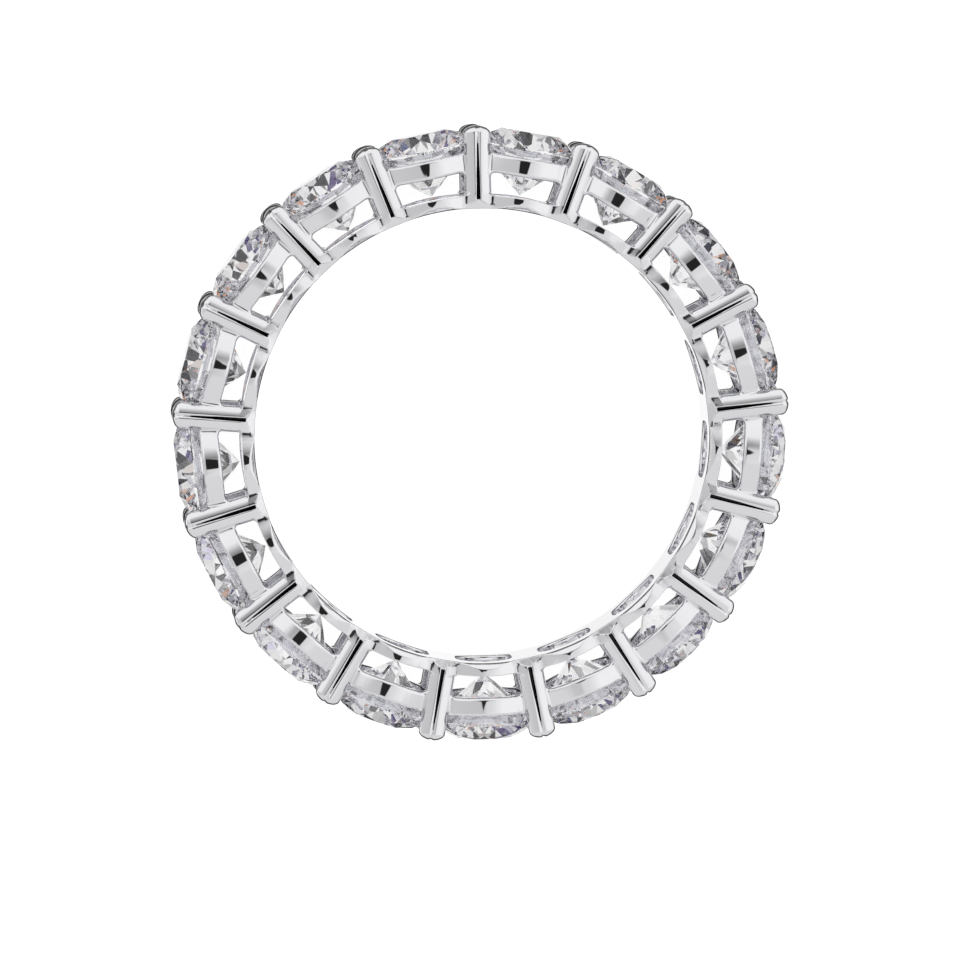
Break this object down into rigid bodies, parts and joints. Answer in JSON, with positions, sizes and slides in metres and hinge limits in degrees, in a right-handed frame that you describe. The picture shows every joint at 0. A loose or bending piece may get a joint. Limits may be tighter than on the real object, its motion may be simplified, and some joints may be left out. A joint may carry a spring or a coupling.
{
  "type": "eternity ring",
  "caption": "Full eternity ring: round brilliant stones side by side all the way round, held by shared prong pairs on a pierced white metal band with a gallery hoop under each stone.",
  "frame": {"origin": "centre of the finger opening, in the ring's middle plane", "axes": "+Z along the finger opening's axis, so the ring lies on its side; -Y through the middle of one stone"},
  "size_m": [0.0236, 0.0236, 0.004],
  "materials": {
    "white_metal": "mirror polished white gold",
    "stone": "faceted and polished, clear"
  },
  "bodies": {
    "root": {"setting": "white_metal", "stone_01": "stone", "stone_02": "stone", "stone_03": "stone", "stone_04": "stone", "stone_05": "stone", "stone_06": "stone", "stone_07": "stone", "stone_08": "stone", "stone_09": "stone", "stone_10": "stone", "stone_11": "stone", "stone_12": "stone", "stone_13": "stone", "stone_14": "stone", "stone_15": "stone", "stone_16": "stone", "stone_17": "stone"}
  },
  "joints": []
}
